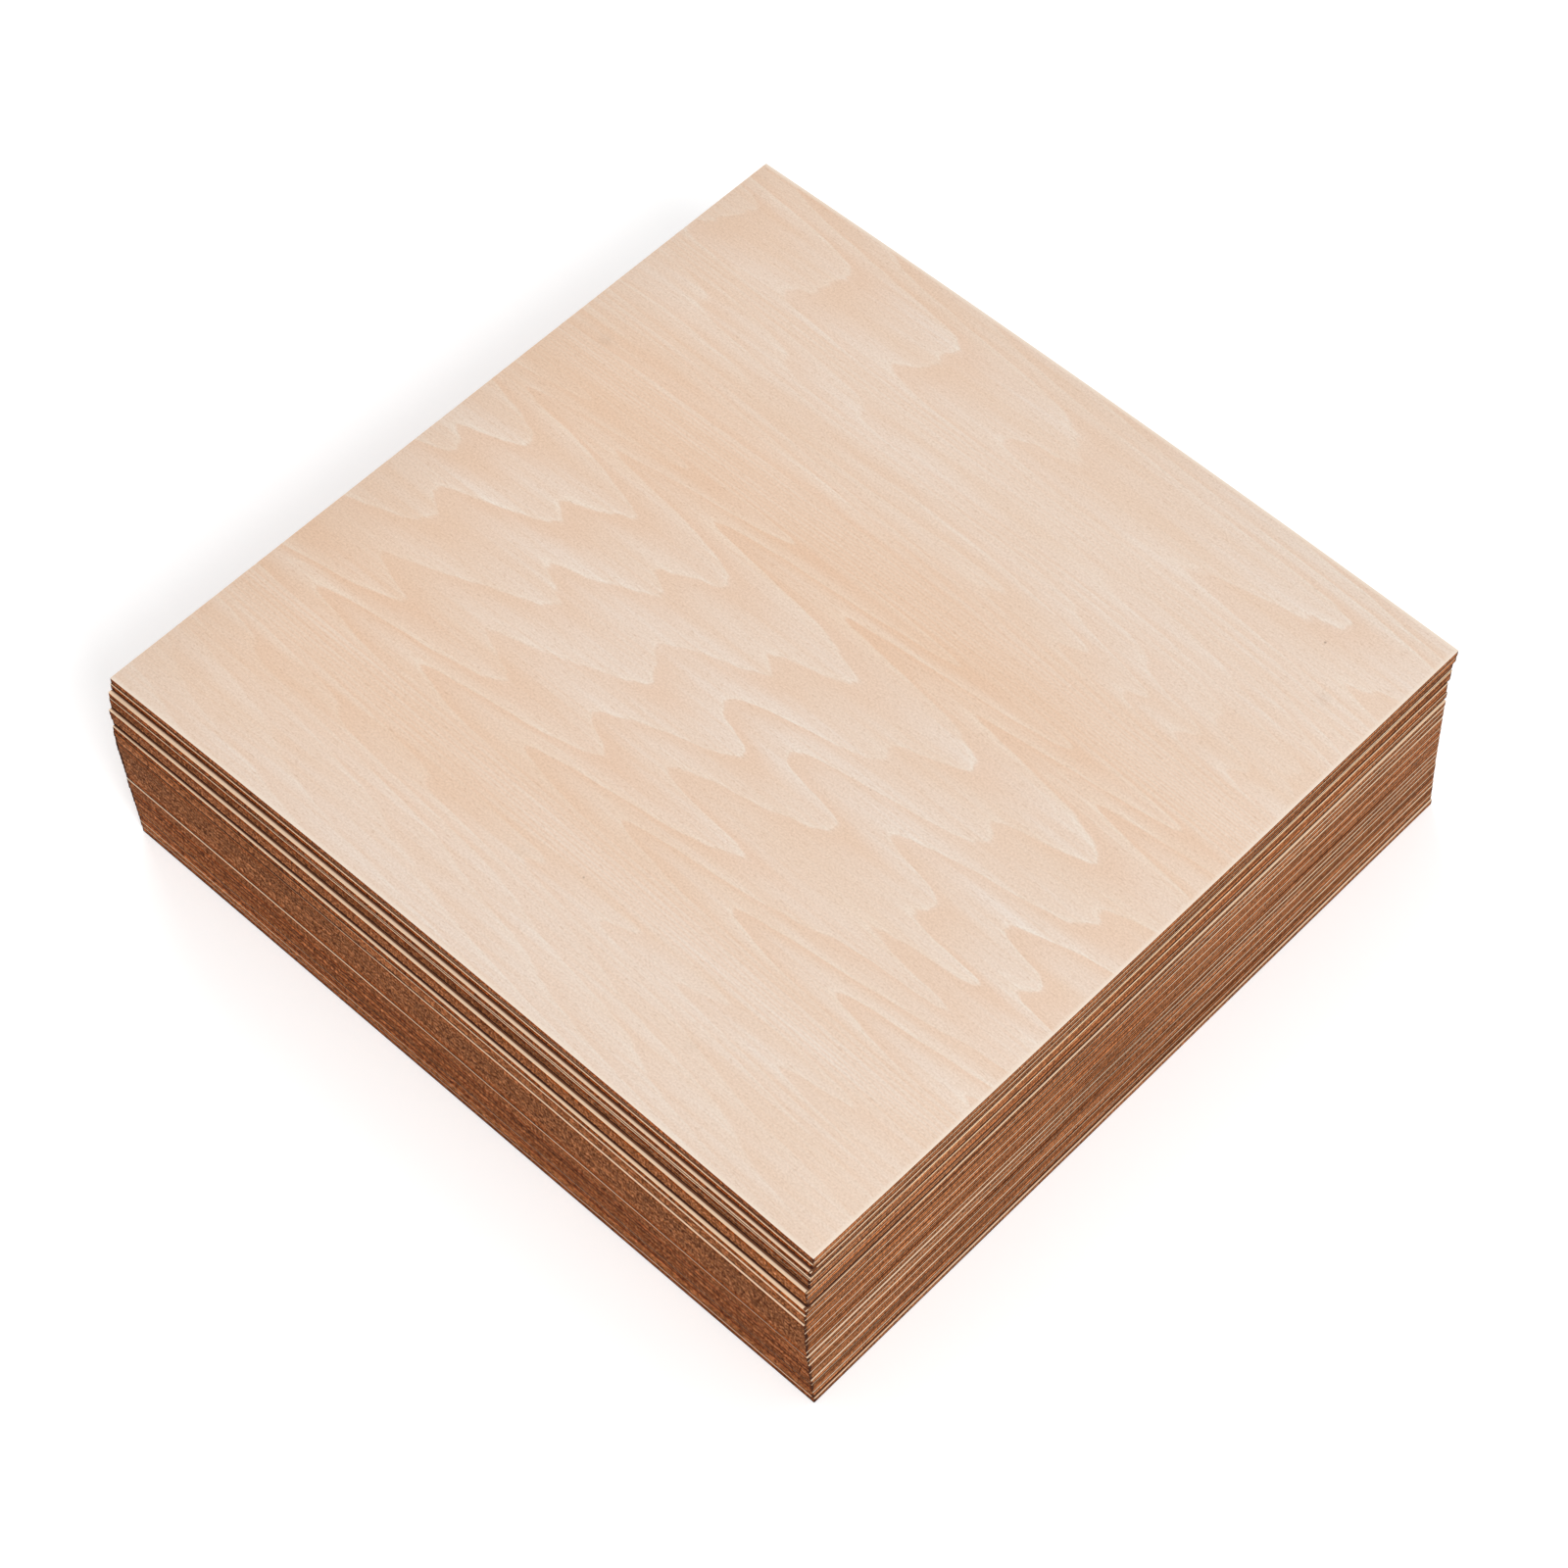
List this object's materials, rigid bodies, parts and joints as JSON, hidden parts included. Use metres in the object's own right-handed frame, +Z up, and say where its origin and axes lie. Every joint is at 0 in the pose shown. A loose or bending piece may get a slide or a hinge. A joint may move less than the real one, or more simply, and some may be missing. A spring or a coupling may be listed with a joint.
{
  "type": "stack of plywood sheets",
  "caption": "Square stack of thin three-ply laser-cut plywood sheets lying loose on one another, edges slightly out of line and the top sheets a little bowed.",
  "frame": {"origin": "middle of the stack's bounding box, on the level surface that the bottom sheet lies on", "axes": "+Z up out of the top sheet, +X along the grain of the face veneers, toward the edge where the lower sheets stand out; -Y is the other edge with steps"},
  "size_m": [0.3098, 0.31, 0.0852],
  "materials": {
    "plywood": "bare sanded basswood face veneer, cream with tan cathedral figure; laser-cut edges browned"
  },
  "bodies": {
    "root": {"sheet_01": "plywood", "sheet_02": "plywood", "sheet_03": "plywood", "sheet_04": "plywood", "sheet_05": "plywood", "sheet_06": "plywood", "sheet_07": "plywood", "sheet_08": "plywood", "sheet_09": "plywood", "sheet_10": "plywood", "sheet_11": "plywood", "sheet_12": "plywood", "sheet_13": "plywood", "sheet_14": "plywood", "sheet_15": "plywood", "sheet_16": "plywood", "sheet_17": "plywood", "sheet_18": "plywood", "sheet_19": "plywood", "sheet_20": "plywood", "sheet_21": "plywood", "sheet_22": "plywood", "sheet_23": "plywood", "sheet_24": "plywood", "sheet_25": "plywood", "sheet_26": "plywood", "sheet_27": "plywood", "sheet_28": "plywood", "sheet_29": "plywood", "sheet_30": "plywood"}
  },
  "joints": []
}
